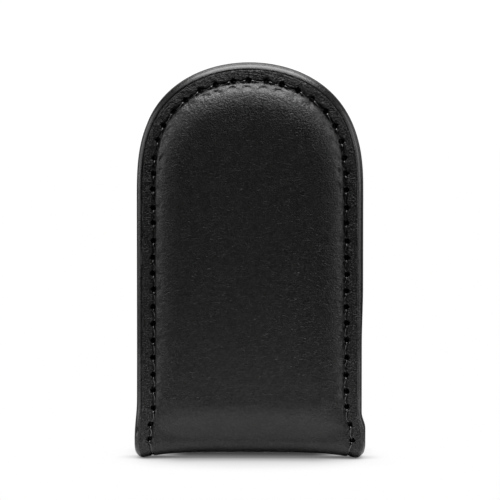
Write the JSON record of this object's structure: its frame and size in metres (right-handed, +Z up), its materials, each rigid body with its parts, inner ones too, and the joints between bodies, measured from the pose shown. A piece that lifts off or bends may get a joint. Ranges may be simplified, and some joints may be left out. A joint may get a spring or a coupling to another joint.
{
  "type": "money clip",
  "caption": "Folding leather money clip: two padded arch-ended leaves, sewn along their edges, joined by a soft fold and held shut by hidden magnets.",
  "frame": {"origin": "middle of the clip's footprint, at the lowest point of the fold", "axes": "+Z up the height from the fold to the arched ends, +X across the width, the front leaf faces -Y"},
  "size_m": [0.0454, 0.0104, 0.0781],
  "materials": {
    "black_leather": "smooth black calf, light wax sheen",
    "lining_leather": "thin black lining leather, matt",
    "black_thread": "waxed black polyester sewing thread",
    "foam": "dark grey sheet foam",
    "fibreboard": "bonded leather board, raw",
    "nickel_plate": "bright nickel plate over magnet alloy",
    "woven_tape": "woven reinforcing tape"
  },
  "bodies": {
    "fold": {"fold_outer_leather": "black_leather", "fold_lining_leather": "lining_leather", "fold_reinforcement": "woven_tape", "fold_thread_left": "black_thread", "fold_thread_right": "black_thread"},
    "front_leaf": {"front_outer_leather": "black_leather", "front_padding": "foam", "front_stiffener": "fibreboard", "front_magnet_upper": "nickel_plate", "front_magnet_lower": "nickel_plate", "front_lining_leather": "lining_leather", "front_top_thread": "black_thread", "front_bobbin_thread": "black_thread"},
    "back_leaf": {"back_outer_leather": "black_leather", "back_padding": "foam", "back_stiffener": "fibreboard", "back_magnet_upper": "nickel_plate", "back_magnet_lower": "nickel_plate", "back_lining_leather": "lining_leather", "back_top_thread": "black_thread", "back_bobbin_thread": "black_thread"}
  },
  "joints": [
    {"name": "front_leaf_swing", "type": "hinge", "parent": "fold", "child": "front_leaf", "pos_m": [0, -0.0033, 0.0009], "axis": [1, 0, 0], "range_deg": [0, 90], "stiffness_Nm_per_rad": 0.01},
    {"name": "back_leaf_swing", "type": "hinge", "parent": "fold", "child": "back_leaf", "pos_m": [0, 0.0033, 0.0009], "axis": [-1, 0, 0], "range_deg": [0, 90], "stiffness_Nm_per_rad": 0.01}
  ],
  "couplings": [
    {"joint": "back_leaf_swing", "follows": "front_leaf_swing", "ratio": 1}
  ]
}
